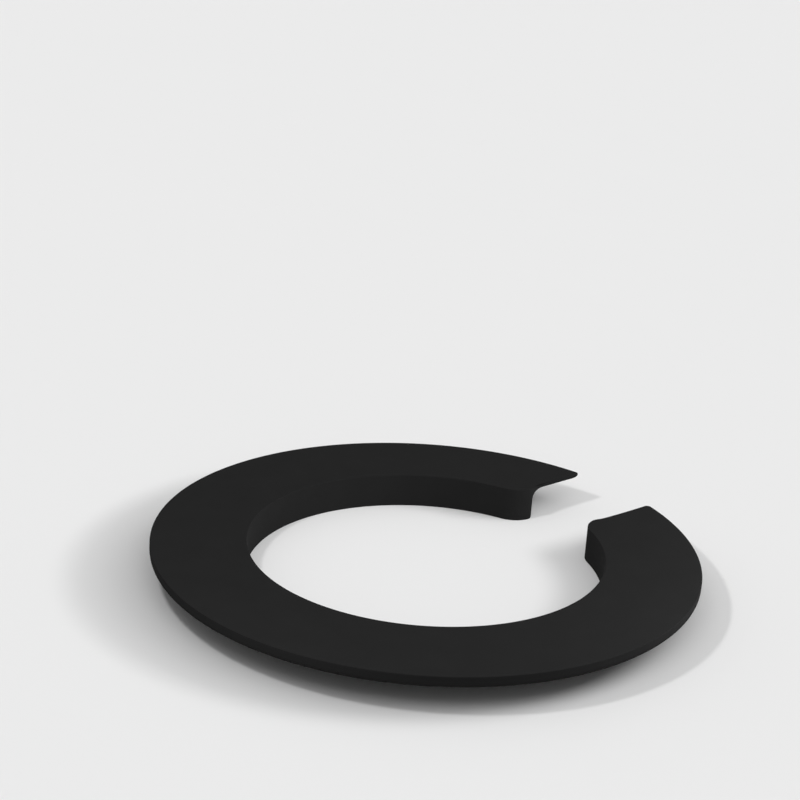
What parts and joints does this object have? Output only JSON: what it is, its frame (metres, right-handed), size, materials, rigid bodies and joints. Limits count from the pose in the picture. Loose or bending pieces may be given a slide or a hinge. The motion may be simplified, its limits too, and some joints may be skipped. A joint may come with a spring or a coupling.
{
  "type": "bicycle chain guard",
  "caption": "C-shaped ring that covers the chain on a bicycle chainring: a wide flat flange on a short coved wall, open at one side for the crank arm.",
  "frame": {"origin": "on the bore axis, in the plane of the seat under the wall", "axes": "+Z along the bore axis, from the seat to the top face; +X along the middle of the crank gap"},
  "size_m": [0.2276, 0.23, 0.015],
  "materials": {
    "guard_nylon": "black, matt, finely grained"
  },
  "bodies": {
    "root": {"chain_guard": "guard_nylon"}
  },
  "joints": []
}
